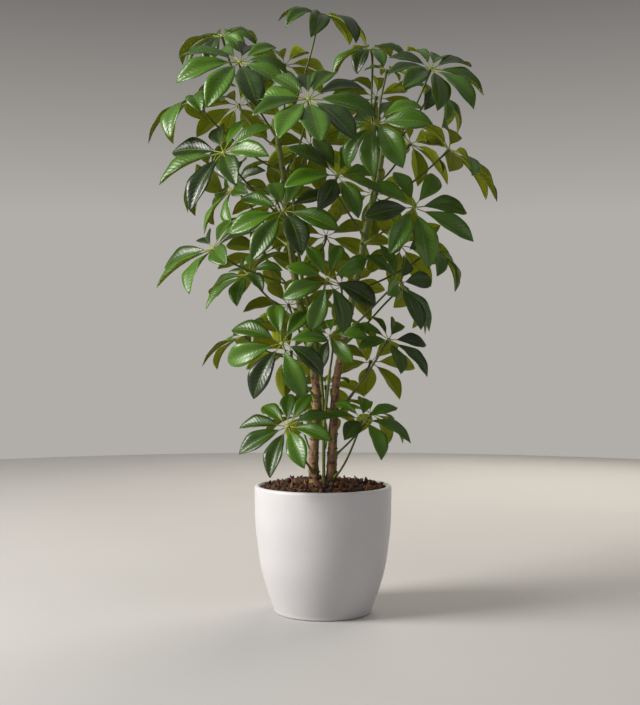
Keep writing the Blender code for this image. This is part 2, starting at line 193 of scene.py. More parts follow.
Leaf = namedtuple("Leaf", "name stem node hub facing tilt turn length count droop")
L, R, M, S = "left_trunk", "right_trunk", "middle_stem", "slim_stem"
LEAVES = [
    # crown
    Leaf("top_centre", L, 716, (-5, -10, 885), 40, 20, 15, 90, 8, 60),
    Leaf("top_left", L, 722, (-155, 50, 870), -25, 30, 5, 86, 8, 67),
    Leaf("upper_left", L, 710, (-120, -60, 802), 0, 45, 20, 100, 9, 40),
    Leaf("far_left", L, 655, (-192, -10, 760), -80, 35, 5, 96, 8, 50),
    Leaf("top_right", R, 692, (73, 20, 842), -25, 25, 10, 76, 8, 60),
    Leaf("right_crown", R, 680, (156, -50, 795), 20, 45, 30, 92, 9, 35),
    Leaf("right_crown_back", R, 686, (168, 60, 787), 60, 35, 5, 85, 8, 60),
    Leaf("young_right", R, 697, (95, -8, 803), 55, 15, 5, 42, 6, 40),
    Leaf("upper_centre", S, 655, (-20, -120, 735), 0, 50, 20, 102, 10, 20),
    # shoulder
    Leaf("centre_right", R, 600, (72, -110, 703), -30, 55, 0, 84, 9, 50),
    Leaf("right", R, 606, (187, -10, 685), 90, 45, 42, 104, 8, 20),
    Leaf("left_middle", L, 580, (-142, -80, 668), -30, 50, 15, 102, 8, 20),
    Leaf("left_middle_back", L, 545, (-138, 50, 636), -65, 55, 10, 92, 8, 35),
    Leaf("centre", R, 556, (20, -105, 632), 25, 55, 28, 84, 8, 20),
    # middle
    Leaf("centre_left", L, 505, (-55, -110, 582), -10, 52, 20, 90, 8, 20),
    Leaf("right_middle", R, 547, (129, -80, 590), 20, 60, 18, 96, 8, 30),
    Leaf("right_middle_back", R, 478, (165, 40, 545), 70, 40, 0, 84, 8, 45),
    Leaf("left_lower", L, 482, (-161, -30, 537), -50, 45, 5, 100, 8, 20),
    Leaf("left_lower_back", L, 432, (-115, 50, 505), -50, 40, 10, 86, 8, 30),
    Leaf("centre_lower", L, 400, (6, -100, 486), 10, 80, 41, 80, 8, 35),
    Leaf("right_lower", R, 418, (109, -65, 485), 55, 60, 48, 86, 7, 10),
    # low
    Leaf("left_low", L, 318, (-58, -100, 397), -5, 65, 15, 92, 8, 50),
    Leaf("left_low_back", L, 365, (-120, 20, 410), -100, 35, 32, 80, 7, 40),
    Leaf("centre_low", M, 345, (11, -65, 408), -25, 50, 3, 58, 7, 45),
    Leaf("right_low", R, 303, (96, -40, 403), 40, 45, 0, 78, 7, 20),
    Leaf("right_low_back", R, 340, (38, 80, 425), 145, 25, 22, 72, 7, 65),
    Leaf("bottom_left", L, 208, (-50, -90, 280), -20, 50, 38, 80, 9, 20),
    Leaf("bottom_right", R, 198, (57, -50, 288), 25, 35, 37, 76, 7, 20),
    Leaf("bottom_middle", S, 240, (13, 52, 288), 165, 30, 5, 44, 6, 35),
    # back
    Leaf("crown_back", L, 700, (-60, 85, 835), 180, 25, 0, 84, 8, 55),
    Leaf("crown_right_back", R, 670, (85, 110, 790), 160, 35, 0, 84, 8, 45),
    Leaf("upper_left_back", L, 690, (-135, 120, 780), -140, 35, 0, 86, 8, 45),
    Leaf("shoulder_back", S, 640, (-20, 115, 715), 180, 45, 0, 90, 9, 35),
    Leaf("shoulder_right_back", R, 640, (135, 50, 705), 105, 40, 20, 86, 8, 30),
    Leaf("shoulder_left_back", L, 620, (-180, 100, 675), -100, 50, 16, 86, 8, 35),
    Leaf("middle_right_back", R, 575, (80, 130, 640), 160, 45, 0, 88, 8, 35),
    Leaf("middle_left_back", L, 560, (-75, 130, 630), -160, 50, 0, 90, 8, 30),
    Leaf("waist_right_back", R, 520, (125, 120, 555), 170, 55, 5, 86, 8, 25),
    Leaf("waist_back", S, 500, (5, 120, 570), 180, 50, 0, 84, 8, 30),
    Leaf("waist_left_back", L, 470, (-95, 140, 545), -160, 50, 15, 86, 8, 25),
    Leaf("lower_back", R, 420, (30, 120, 490), 180, 50, 0, 84, 8, 30),
    Leaf("lower_right_back", R, 400, (125, 80, 485), 90, 55, 30, 84, 8, 35),
    Leaf("lower_left_back", L, 380, (-55, 115, 460), -160, 50, 0, 84, 8, 30),
    Leaf("low_right_back", R, 290, (75, 80, 370), 160, 50, 47, 78, 7, 25),
    Leaf("low_back", L, 300, (-50, 90, 385), -175, 55, 30, 78, 7, 35),
    Leaf("low_middle_back", L, 262, (5, 120, 330), 185, 35, 30, 76, 7, 55),
    Leaf("bottom_right_back", R, 230, (75, 60, 290), 130, 35, 0, 70, 7, 45),
    Leaf("bottom_back", L, 225, (-35, 85, 285), -170, 35, 0, 72, 7, 45),
]
print(f"{len(STEMS)} stems, {len(LEAVES)} leaves")

# %% [markdown]
# A leaf has to meet its stem exactly where the frame's leaf does, so the stem's centre line is worked out in
# the same way: a smooth curve through the route's points, read off every few centimetres.

# %% Where a stem is at each height
def smooth_route(route, spacing):
    """(centre, radius) every spacing metres up a stem, on a smooth curve through its route's points."""
    points = [Vector(p) * MM for p in route]
    straight, top = points[1].z, points[-1].z
    steps = round((top - straight) / spacing)
    made = [(points[0].xyz, points[0].w)]
    for step in range(steps + 1):
        z = straight + (top - straight) * step / steps
        i = max(k for k in range(1, len(points) - 1) if k == 1 or points[k].z <= z)
        before, start, end, after = (points[min(k, len(points) - 1)] for k in (i - 1, i, i + 1, i + 2))
        span = end.z - start.z
        t = (z - start.z) / span
        leaving = (end - before) / (end.z - before.z) * span
        arriving = (after - start) / (after.z - start.z) * span
        found = (
            (2 * t**3 - 3 * t**2 + 1) * start
            + (t**3 - 2 * t**2 + t) * leaving
            + (3 * t**2 - 2 * t**3) * end
            + (t**3 - t**2) * arriving
        )
        made.append((Vector((found.x, found.y, z)), found.w))
    return made


def on_stem(name, z):
    """The centre, radius and direction of a stem at a height, on the frame's own straight lengths."""
    points = smooth_route(next(stem.route for stem in STEMS if stem.name == name), STEM_SPACING)
    for (below, radius1), (above, radius2) in zip(points, points[1:]):
        if z <= above.z:
            t = (z - below.z) / (above.z - below.z)
            return below.lerp(above, t), radius1 + (radius2 - radius1) * t, (above - below).normalized()


def leaf_axes(leaf):
    """The umbrella's own axes: away from the stem, across, and along the umbrella's handle."""
    facing, tilt = radians(leaf.facing), radians(leaf.tilt)
    handle = Vector((sin(facing) * sin(tilt), -cos(facing) * sin(tilt), cos(tilt)))
    away = Vector(leaf.hub) * MM - on_stem(leaf.stem, leaf.node * MM)[0]
    away.z = 0
    away = (away - away.dot(handle) * handle).normalized()
    return away, handle.cross(away), handle


print(f"at 300 mm, the left trunk is {2 * on_stem('left_trunk', 0.3)[1] / MM:.1f} mm thick")

# %% [markdown]
# ## Finishes of the leaf
# A living leaf is a thin wet sheet under clear wax. Its upper side is dark and shines softly, so the light
# from a window lies on it in pale streaks; its underside has no wax and is a dull yellow-green. Some light
# goes through, which makes a leaf with the sun behind it glow. The veins branch from the midrib every few
# millimetres: they follow the blade, so they are drawn on its own map, across 0 to 1 and along 0 to 1. Bump
# makes them, and colour only hints at them, because they are a fold of the skin more than a line.

# %% Waxy upper side and dull underside
VEIN_SPACING = 5.5 * MM
BLADE_LENGTH = 70 * MM  # of a smallish leaflet: a larger one has its veins further apart, as on the plant
VEIN_SLANT = 5.0  # spacings that a vein climbs over the blade's whole width
VEIN_SHOWS = 0.14  # how far its colour shows
PORES = 0.9 * MM  # coarser than real ones, which are too fine to show


def blade_material(name, deep, fresh, vein, gloss, coat, through, glow):
    """A leaf blade's side: its colour from tone and veins, its gloss, and the light that passes through."""
    made, tree = new_material(name)
    place = node(tree, "TexCoord").outputs["Object"]
    tone = node(tree, "Attribute", attribute_name="tone").outputs["Fac"]
    blade = node(tree, "SeparateXYZ", (node(tree, "UVMap", uv_map="Blade"),))
    off_middle = node(tree, "Math", (blade.outputs["X"], 0.5), operation="SUBTRACT")
    across = node(tree, "Math", (off_middle,), operation="ABSOLUTE")
    steps = node(tree, "Math", (blade.outputs["Y"], BLADE_LENGTH / VEIN_SPACING), operation="MULTIPLY")
    slant = node(tree, "Math", (across, -VEIN_SLANT, steps), operation="MULTIPLY_ADD")
    wander = node(tree, "TexNoise", {"Vector": place, "Scale": 1 / (14 * MM), "Detail": 2.0})
    uneven = node(tree, "Math", (wander.outputs["Fac"], 0.9, slant), operation="MULTIPLY_ADD")
    wave = node(tree, "Math", (uneven, 0.5), operation="PINGPONG")
    line = node(tree, "MapRange", {"Value": wave, "From Max": 0.14, "To Min": 1.0, "To Max": 0.0})
    # a vein fades out before the margin, and the midrib is a narrow line of its own
    inside = node(tree, "MapRange", {
        "Value": across, "From Min": 0.3, "From Max": 0.47, "To Min": 1.0, "To Max": 0.0})
    midrib = node(tree, "MapRange", {
        "Value": across, "From Min": 0.012, "From Max": 0.03, "To Min": 0.7, "To Max": 0.0})
    drawn = node(tree, "Math", (line, inside), operation="MULTIPLY")
    veins = node(tree, "Math", (drawn, VEIN_SHOWS), operation="MULTIPLY")
    ribbed = node(tree, "Math", (veins, midrib), operation="MAXIMUM")
    blotch = node(tree, "TexNoise", {
        "Vector": place, "Scale": 1 / (20 * MM), "Detail": 5.0, "Roughness": 0.6}).outputs["Fac"]
    mottle = node(tree, "Math", (blotch, 0.5, tone), operation="MULTIPLY_ADD")
    freshness = node(tree, "Math", (mottle, 0.25), operation="SUBTRACT", use_clamp=True)
    flesh = node(tree, "Mix", {0: freshness, 6: linear(deep), 7: linear(fresh)}, data_type="RGBA")
    colour = node(tree, "Mix", {0: ribbed, 6: flesh, 7: linear(vein)}, data_type="RGBA")
    grain = node(tree, "TexNoise", {"Vector": place, "Scale": 1 / PORES, "Detail": 2.0})
    fine = node(tree, "Math", (grain.outputs["Fac"], 0.12), operation="MULTIPLY")
    quilted = node(tree, "Math", (wave, inside), operation="MULTIPLY")
    relief = node(tree, "Math", (quilted, 1.1, fine), operation="MULTIPLY_ADD")
    bump = node(tree, "Bump", {"Height": relief, "Strength": 0.7, "Distance": 0.7 * MM})
    rough = node(tree, "MapRange", {"Value": blotch, "To Min": gloss - 0.08, "To Max": gloss + 0.14})
    skin = node(tree, "BsdfPrincipled", {
        "Base Color": colour, "Roughness": rough, "Normal": bump, "IOR": 1.45, "Specular IOR Level": 0.42,
        "Coat Weight": coat, "Coat Roughness": 0.28})
    lit = node(tree, "BsdfTranslucent", {"Color": linear(glow)})
    node(tree, "OutputMaterial", (node(tree, "MixShader", (through, skin, lit)),))
    return made


# Clear wax over dark green: soft pale streaks under a lamp, near black where nothing bright is mirrored.
UPPER = blade_material(
    "Leaf blade, waxed upper side", "#0b1c01", "#42680a", "#56721f",
    gloss=0.34, coat=0.22, through=0.06, glow="#a0b414")
# No wax, and light from above comes through: an olive side that stays dull and glows. Its colours are the
# underside's own pale yellow-green, brightened and yellowed further as a painted glow of light from behind.
UNDER = blade_material(
    "Leaf blade, dull underside", "#7e8a10", "#a8ae14", "#a8ae40",
    gloss=0.6, coat=0.0, through=0.46, glow="#d4d818")
print(UPPER.name, "|", UNDER.name)

# %% [markdown]
# The petiole and the little stalks of the leaflets are smooth and rounder, with a thin skin. The stalks and
# the midrib, which is one with its stalk, are paler than the blade. Where the petiole has just left its stem
# it is younger and a fresher green, and an attribute called young tells the material where that is.

# %% Smooth green stalks
def stalk_material(name, colour, mottled, roughness):
    """Smooth green tissue: two colours in soft lengthways patches, and a fresh green where it is young."""
    made, tree = new_material(name)
    place = node(tree, "TexCoord").outputs["Object"]
    stretched = node(tree, "Mapping", {"Vector": place, "Scale": (1.0, 1.0, 0.3)})
    patches = node(tree, "TexNoise", {
        "Vector": stretched, "Scale": 1 / (6 * MM), "Detail": 4.0}).outputs["Fac"]
    older = node(tree, "Mix", {0: patches, 6: linear(colour), 7: linear(mottled)}, data_type="RGBA")
    young = node(tree, "Attribute", attribute_name="young").outputs["Fac"]
    tint = node(tree, "Mix", {0: young, 6: older, 7: linear("#74862a")}, data_type="RGBA")
    bump = node(tree, "Bump", {"Height": patches, "Strength": 0.2, "Distance": 0.2 * MM})
    skin = node(tree, "BsdfPrincipled", {
        "Base Color": tint, "Roughness": roughness, "Normal": bump, "IOR": 1.45, "Specular IOR Level": 0.35})
    node(tree, "OutputMaterial", (skin,))
    return made


# Taut skin with a narrow soft highlight, dull pale tissue that reads as lines in the blade, and between them
# the green of a shoot that has no bark yet.
PETIOLE = stalk_material("Petiole, smooth green skin", "#2c370a", "#525a1c", 0.42)
MIDRIB = stalk_material("Leaflet stalk and midrib, pale green", "#6c7829", "#8c9444", 0.6)
GREEN_STEM = stalk_material("Young stem, green skin", "#3d4d14", "#66702a", 0.5)
print(PETIOLE.name, "|", MIDRIB.name, "|", GREEN_STEM.name)

# %% [markdown]
# ## One leaflet
# Modelled flat first, as a florist would press it: a stalk, then a blade that widens slowly, is broadest past
# its middle and closes in a short point. The blade starts as a grid. Its two halves rise a little from the
# midrib, and the margins turn down again and ripple. Giving the sheet its thickness comes last, and the faces
# of the underside are numbered, so that they can be painted apart.

# %% The pressed leaflet
UPPER_SIDE, UNDER_SIDE, STALK, LEAF_STEM = range(4)  # the numbers of a leaf's parts
LEAFLET = 90 * MM  # the reference length, from the hub to the tip
STALK_SHARE = 0.11
BLADE_WIDTH = 35 * MM
BLADE_THICKNESS = 0.4 * MM
FOLD = 0.62  # how steeply the halves rise from the midrib
ROLL = 0.25  # how much the margins turn down again
RIPPLE = 0.9 * MM
ROWS, COLUMNS = 14, 6


def blade_half_width(t):
    """Half the blade's width at a share t of its length: broadest at 55 percent, then a short point."""
    return BLADE_WIDTH / 2 * sin(pi * t**1.16) ** 0.95 if 0 < t < 1 else 0


def pressed_leaflet():
    """The blade as a thin closed sheet, with its map and its numbered sides."""
    bm = bmesh.new()
    bmesh.ops.create_grid(bm, x_segments=ROWS, y_segments=COLUMNS, size=0.5)
    shares = {vert: (vert.co.x + 0.5, vert.co.y * 2) for vert in bm.verts}
    blade_map = bm.loops.layers.uv.new("Blade")
    for face in bm.faces:
        for loop in face.loops:
            along, across = shares[loop.vert]
            loop[blade_map].uv = (0.5 + across / 2, along)
    for vert, (along, across) in shares.items():
        half = blade_half_width(along)
        rise = half * (FOLD * abs(across) - ROLL * across**2)
        ripple = RIPPLE * across**2 * sin(5 * pi * along + 1.3 * across) * min(1, 2 * half / BLADE_WIDTH)
        x = LEAFLET * (STALK_SHARE + (1 - STALK_SHARE) * along)
        vert.co = (x, half * across, rise + ripple)
    bmesh.ops.remove_doubles(bm, verts=bm.verts[:], dist=1e-6)
    bmesh.ops.solidify(bm, geom=bm.faces[:], thickness=BLADE_THICKNESS)
    bmesh.ops.recalc_face_normals(bm, faces=bm.faces[:])
    part = bm.faces.layers.int.new("part")
    for face in bm.faces:
        face.smooth = True
        face[part] = UNDER_SIDE if face.normal.z < -0.3 else UPPER_SIDE
    return as_mesh(bm, "pressed_leaflet")


leaflet_mesh = pressed_leaflet()
print(f"leaflet: {len(leaflet_mesh.polygons)} faces, {LEAFLET / MM:.0f} by {BLADE_WIDTH / MM:.0f} mm")

# %% [markdown]
# ## The umbrella, as Geometry Nodes
# One tree grows every leaf. It bends the pressed leaflet over an arc that leaves the hub at 15 degrees and
# falls away by the leaf's droop. It then stands copies round the hub, each one turned, rolled and sized a
# little differently, because no two ribs of a living umbrella match. Three helpers come first, which the
# stems use too: one makes tubes, one draws random numbers, and one ends a tree, where it makes each copy real
# and paints the faces by their part's number.

# %% Tubes, random numbers and the end of a tree
ON_FACES = {"data_type": "INT", "domain": "FACE"}  # how a part's number is stored


def tube(tree, curve, sides, radius, part):
    """A closed tube along a curve, with a radius that may change on the way."""
    ring = node(tree, "CurvePrimitiveCircle", {"Resolution": sides, "Radius": 1.0})
    skin = node(tree, "CurveToMesh", {
        "Curve": curve, "Profile Curve": ring, "Scale": radius, "Fill Caps": True})
    smooth = node(tree, "SetShadeSmooth", {"Geometry": skin})
    return node(tree, "StoreNamedAttribute", {"Geometry": smooth, "Name": "part", "Value": part}, **ON_FACES)


def draws(tree, seed, *ranges, first=1):
    """A random number for each copy from each range, with the seeds that follow the given one."""
    made = []
    for step, (low, high) in enumerate(ranges, first):
        own_seed = node(tree, "Math", (seed, step), operation="ADD")
        drawn = node(tree, "RandomValue", {2: low, 3: high, "Seed": own_seed}, data_type="FLOAT")
        made.append(drawn.outputs[1])
    return made


def finished(tree, geometry, finishes):
    """The end of a tree: every copy is made real, and each numbered part gets its material."""
    last = node(tree, "RealizeInstances", (geometry,))
    number = node(tree, "InputNamedAttribute", {"Name": "part"}, data_type="INT").outputs[0]
    for part, finish in enumerate(finishes):
        chosen = node(tree, "Compare", {2: number, 3: part}, data_type="INT", operation="EQUAL")
        last = node(tree, "SetMaterial", {"Geometry": last, "Selection": chosen, "Material": finish})
    node(tree, "GroupOutput", (last,))


print(f"a leaf's parts are numbered {UPPER_SIDE} to {LEAF_STEM}")

# %% [markdown]
# The bend is the arc of a circle: its angle grows evenly from the hub to the tip, so a point's place on the
# arc comes from the sine and cosine of that angle. Four kinds of leaflet are bent, some straighter and some
# curved to a side like a sickle.

# %% Bending the leaflets
HUB_RISE = radians(15)
# extra droop in radians, how strongly folded, and sideways curve as a share of the leaflet's length
KINDS = ((-0.12, 0.8, 0.05), (0.0, 1.0, -0.02), (0.1, 1.2, 0.0), (0.22, 1.0, -0.07))


def ribbed_leaflet(tree, pressed):
    """The pressed leaflet with a stalk that runs on into the midrib."""
    line = node(tree, "CurvePrimitiveLine", {"End": (0.95 * LEAFLET, 0, 0)})
    stations = node(tree, "ResampleCurve", {"Curve": line, "Count": 10})
    along = node(tree, "SplineParameter").outputs["Factor"]
    radius = node(tree, "MapRange", {"Value": along, "To Min": 1.0 * MM, "To Max": 0.3 * MM})
    dip = node(tree, "MapRange", {
        "Value": along, "From Min": 0.06, "From Max": 0.24, "To Min": 0.0, "To Max": -0.8 * MM})
    lower = node(tree, "CombineXYZ", (0.0, 0.0, dip))
    under = node(tree, "SetPosition", {"Geometry": stations, "Offset": lower})
    return node(tree, "JoinGeometry", ([pressed, tube(tree, under, 6, radius, STALK)],))


def bent(tree, flat, droop, fold, sickle):
    """Bends flat things along the arc: x becomes a place on it, z a height over it, and y drifts sideways."""
    fall = node(tree, "Math", (droop, HUB_RISE), operation="ADD")
    at = node(tree, "SeparateXYZ", (node(tree, "InputPosition"),))
    share = node(tree, "Math", (at.outputs["X"], LEAFLET), operation="DIVIDE")
    fallen = node(tree, "Math", (fall, share), operation="MULTIPLY")
    angle = node(tree, "Math", (HUB_RISE, fallen), operation="SUBTRACT")
    sine = node(tree, "Math", (angle,), operation="SINE")
    cosine = node(tree, "Math", (angle,), operation="COSINE")
    run = node(tree, "Math", (sin(HUB_RISE), sine), operation="SUBTRACT")
    climb = node(tree, "Math", (cosine, cos(HUB_RISE)), operation="SUBTRACT")
    reach = node(tree, "Math", (run, fall), operation="DIVIDE")
    lift = node(tree, "Math", (climb, fall), operation="DIVIDE")
    height = node(tree, "Math", (at.outputs["Z"], fold), operation="MULTIPLY")
    forward = node(tree, "Math", (sine, height), operation="MULTIPLY")
    backward = node(tree, "Math", (forward, -1.0), operation="MULTIPLY")
    upward = node(tree, "Math", (cosine, height), operation="MULTIPLY")
    squared = node(tree, "Math", (share, share), operation="MULTIPLY")
    x = node(tree, "Math", (reach, LEAFLET, backward), operation="MULTIPLY_ADD")
    y = node(tree, "Math", (squared, sickle * LEAFLET, at.outputs["Y"]), operation="MULTIPLY_ADD")
    z = node(tree, "Math", (lift, LEAFLET, upward), operation="MULTIPLY_ADD")
    return node(tree, "SetPosition", {"Geometry": flat, "Position": node(tree, "CombineXYZ", (x, y, z))})


def leaflet_kinds(tree, flat, droop):
    """The kinds of leaflet, as copies to choose from."""
    kinds = []
    for extra, fold, sickle in KINDS:
        own_droop = node(tree, "Math", (droop, extra), operation="ADD")
        kinds.append(node(tree, "GeometryToInstance", (bent(tree, flat, own_droop, fold, sickle),)))
    return node(tree, "JoinGeometry", (kinds,))


print(f"{len(KINDS)} kinds of leaflet")

# %% [markdown]
# Each copy stands on a small ring, the edge of the hub, and picks its kind of leaflet. It is turned, rolled
# and sized by its own random numbers. The leaflets that point back at the stem are shorter. One more number
# for each copy, its tone, tells the blade's material how fresh it is.

# %% Fanning out the leaflets
HUB_RADIUS = 4.2 * MM
INNER_SHRINK = 0.30


def fanned(tree, kinds, given):
    """Leaflets round the hub, each with its own size, twist and tone."""
    swing, length, breadth, roll, pitch, tone = draws(
        tree, given["Seed"],
        (-0.07, 0.07), (0.95, 1.04), (0.9, 1.08), (-0.24, 0.24), (-0.09, 0.09), (0.0, 1.0))
    share = node(tree, "Math", (node(tree, "InputIndex"), given["Leaflets"]), operation="DIVIDE")
    even = node(tree, "Math", (share, 2 * pi, given["Turn"]), operation="MULTIPLY_ADD")
    yaw = node(tree, "Math", (even, swing), operation="ADD")
    x, y = (
        node(tree, "Math", (node(tree, "Math", (yaw,), operation=turn), HUB_RADIUS), operation="MULTIPLY")
        for turn in ("COSINE", "SINE")
    )
    ring = node(tree, "CombineXYZ", (x, y, 0.0))
    points = node(tree, "Points", {"Count": given["Leaflets"], "Position": ring})
    outward = node(tree, "Math", (even,), operation="COSINE")
    inward = node(tree, "Math", (1.0, outward), operation="SUBTRACT")
    shorter = node(tree, "Math", (inward, INNER_SHRINK / 2), operation="MULTIPLY")
    shrink = node(tree, "Math", (1.0, shorter), operation="SUBTRACT")
    whole = node(tree, "Math", (given["Length"], LEAFLET), operation="DIVIDE")
    shrunk = node(tree, "Math", (whole, shrink), operation="MULTIPLY")
    size = node(tree, "Math", (shrunk, length), operation="MULTIPLY")
    broad = node(tree, "Math", (size, breadth), operation="MULTIPLY")
    own_seed = node(tree, "Math", (given["Seed"], 7), operation="ADD")
    choice = node(tree, "RandomValue", {
        4: 0, 5: len(KINDS) - 1, "Seed": own_seed}, data_type="INT").outputs[2]
    copies = node(tree, "InstanceOnPoints", {
        "Points": points, "Instance": kinds, "Pick Instance": True, "Instance Index": choice,
        "Rotation": node(tree, "CombineXYZ", (roll, pitch, yaw)),
        "Scale": node(tree, "CombineXYZ", (size, broad, size))})
    return node(tree, "StoreNamedAttribute", {
        "Geometry": copies, "Name": "tone", "Value": tone}, data_type="FLOAT", domain="INSTANCE")


print(f"a ring of {HUB_RADIUS / MM} mm")

# %% [markdown]
# The petiole is a long flexible tube. It sweeps down from under the hub in one bend and clasps the stem with
# a wider sheath, and it is a little swollen at the top, where the leaf turns towards the light. A Bezier
# segment gives the bend, and the tube's radius is a function of how far along the segment it is.

# %% The petiole, the hub and the whole leaf
PETIOLE_RADIUS = 1.55 * MM
SHEATH_RADIUS, SHEATH_LENGTH = 3.3 * MM, 15 * MM
YOUNG_LENGTH = 28 * MM


def petiole(tree, given):
    """A tube along the segment from the stem to the hub, swollen at both ends."""
    sweep = node(tree, "CurvePrimitiveBezierSegment", {
        "Resolution": 16, "Start": given["Foot"], "Start Handle": given["Foot handle"],
        "End Handle": given["Top handle"], "End": given["Top"]})
    stations = node(tree, "ResampleCurve", {"Curve": sweep, "Count": 18})
    along = node(tree, "SplineParameter")
    sheath = node(tree, "MapRange", {
        "Value": along.outputs["Length"], "From Max": SHEATH_LENGTH, "To Min": SHEATH_RADIUS,
        "To Max": PETIOLE_RADIUS}, interpolation_type="SMOOTHSTEP")
    swelling = node(tree, "MapRange", {
        "Value": along.outputs["Factor"], "From Min": 0.9, "To Min": 0.0, "To Max": 1.1 * MM,
    }, interpolation_type="SMOOTHSTEP")
    young = node(tree, "MapRange", {
        "Value": along.outputs["Length"], "From Max": YOUNG_LENGTH, "To Min": 1.0, "To Max": 0.0})
    marked = node(tree, "StoreNamedAttribute", {
        "Geometry": stations, "Name": "young", "Value": young}, data_type="FLOAT", domain="POINT")
    return tube(tree, marked, 10, node(tree, "Math", (sheath, swelling), operation="ADD"), LEAF_STEM)


def leaf_tree():
    tree, given = new_tree("Grow leaf", {
        "Length": "Float", "Leaflets": "Int", "Turn": "Float", "Droop": "Float", "Seed": "Int",
        "Hub": "Vector", "Axes": "Rotation", "Foot": "Vector", "Foot handle": "Vector",
        "Top handle": "Vector", "Top": "Vector"})
    kinds = leaflet_kinds(tree, ribbed_leaflet(tree, given["Geometry"]), given["Droop"])
    ball = node(tree, "MeshUVSphere", {"Segments": 14, "Rings": 8, "Radius": 1.0})
    button = node(tree, "Transform", {
        "Geometry": ball, "Scale": (0.8 * HUB_RADIUS, 0.8 * HUB_RADIUS, 1.8 * MM)})
    smooth = node(tree, "SetShadeSmooth", {"Geometry": button})
    hub = node(tree, "StoreNamedAttribute", {"Geometry": smooth, "Name": "part", "Value": STALK}, **ON_FACES)
    umbrella = node(tree, "JoinGeometry", ([hub, fanned(tree, kinds, given)],))
    placed = node(tree, "Transform", {
        "Geometry": umbrella, "Translation": given["Hub"], "Rotation": given["Axes"]})
    whole = node(tree, "JoinGeometry", ([placed, petiole(tree, given)],))
    finished(tree, whole, (UPPER, UNDER, MIDRIB, PETIOLE))
    return tree


leaf_nodes = leaf_tree()
print(f"leaf tree: {len(leaf_nodes.nodes)} nodes, {len(leaf_nodes.links)} links")

# %% [markdown]
# Each leaf of the frame is now grown by that tree with its own numbers. Its petiole's foot is sunk a little
# into the stem, as a real sheath clasps it.

# %% Growing the leaves
PETIOLE_BEND = 0.28  # how far its ends run straight, as a share of its span
FOOT_SUNK = 1.2 * MM


def grow(leaf, seed):
    away, across, handle = leaf_axes(leaf)
    foot_centre, radius, lean = on_stem(leaf.stem, leaf.node * MM)
    top = Vector(leaf.hub) * MM - handle * 1.3 * MM
    outward = top - foot_centre
    outward = (outward - outward.dot(lean) * lean).normalized()
    foot = foot_centre + (radius - FOOT_SUNK) * outward
    span = (top - foot).length
    values = {
        "Length": leaf.length * MM, "Leaflets": leaf.count, "Turn": radians(leaf.turn),
        "Droop": radians(leaf.droop), "Seed": seed, "Hub": Vector(leaf.hub) * MM,
        "Axes": Matrix((away, across, handle)).transposed().to_euler(),
        "Foot": foot, "Foot handle": foot + PETIOLE_BEND * span * (outward + 0.6 * lean).normalized(),
        "Top handle": top - PETIOLE_BEND * span * handle, "Top": top,
    }
    return grown(f"{leaf.name}_umbrella", leaflet_mesh, leaf_nodes, values)


faces = 0
for number, leaf in enumerate(LEAVES):
    piece = grow(leaf, seed=10 * number)
    settle(piece, "leaf", f"leaf_{leaf.name}")
    faces += len(piece.data.polygons)
print(f"{len(LEAVES)} leaves, {faces} faces")

# %% [markdown]
# ## Bark
# A young trunk wears thin tan cork over green tissue, which shows through in patches and more so towards the
# tip. Every fallen leaf has left a dark scar across it, and small corky warts, the lenticels, let it breathe.
# The colours run lengthways, so the noise that mixes them is stretched along the trunk.

# %% Thin cork over green tissue
def bark_material(name, tan, dark, green, greener_above):
    """Cork in two browns, with green patches that spread above a height in metres."""
    made, tree = new_material(name)
    place = node(tree, "TexCoord").outputs["Object"]
    high = node(tree, "SeparateXYZ", (place,)).outputs["Z"]
    stretched = node(tree, "Mapping", {"Vector": place, "Scale": (1.0, 1.0, 0.35)})
    streaks = node(tree, "TexNoise", {
        "Vector": stretched, "Scale": 1 / (4 * MM), "Detail": 6.0, "Roughness": 0.65}).outputs["Fac"]
    patches = node(tree, "TexNoise", {
        "Vector": stretched, "Scale": 1 / (16 * MM), "Detail": 3.0}).outputs["Fac"]
    cracks = node(tree, "TexVoronoi", {
        "Vector": stretched, "Scale": 1 / (3 * MM)}, feature="DISTANCE_TO_EDGE")
    share = node(tree, "MapRange", {"Value": streaks, "From Min": 0.38, "From Max": 0.62})
    cork = node(tree, "Mix", {0: share, 6: linear(dark), 7: linear(tan)}, data_type="RGBA")
    rising = node(tree, "MapRange", {
        "Value": high, "From Min": greener_above, "From Max": greener_above + 0.3,
        "To Min": 0.0, "To Max": 0.6})
    shown = node(tree, "Math", (patches, rising), operation="ADD")
    mask = node(tree, "MapRange", {"Value": shown, "From Min": 0.55, "From Max": 0.7, "To Max": 0.95})
    skin = node(tree, "Mix", {0: mask, 6: cork, 7: linear(green)}, data_type="RGBA")
    crack = node(tree, "MapRange", {
        "Value": cracks.outputs["Distance"], "From Max": 0.12, "To Min": 0.6, "To Max": 0.0})
    corky = node(tree, "MapRange", {"Value": mask, "To Min": 1.0, "To Max": 0.15})
    edge = node(tree, "Math", (crack, corky), operation="MULTIPLY")
    lined = node(tree, "Mix", {0: edge, 6: skin, 7: linear(dark)}, data_type="RGBA")
    height = node(tree, "Math", (edge, -0.8, streaks), operation="MULTIPLY_ADD")
    bump = node(tree, "Bump", {"Height": height, "Strength": 0.7, "Distance": 0.6 * MM})
    rough = node(tree, "MapRange", {"Value": mask, "To Min": 0.8, "To Max": 0.5})
    cover = node(tree, "BsdfPrincipled", {"Base Color": lined, "Roughness": rough, "Normal": bump})
    node(tree, "OutputMaterial", (cover,))
    return made


# Dry and cracked, so it has no highlight at all, except where the smoother green shows through.
BARK = bark_material("Young bark, thin tan cork", "#97754f", "#4e3623", "#5d6d26", greener_above=0.34)
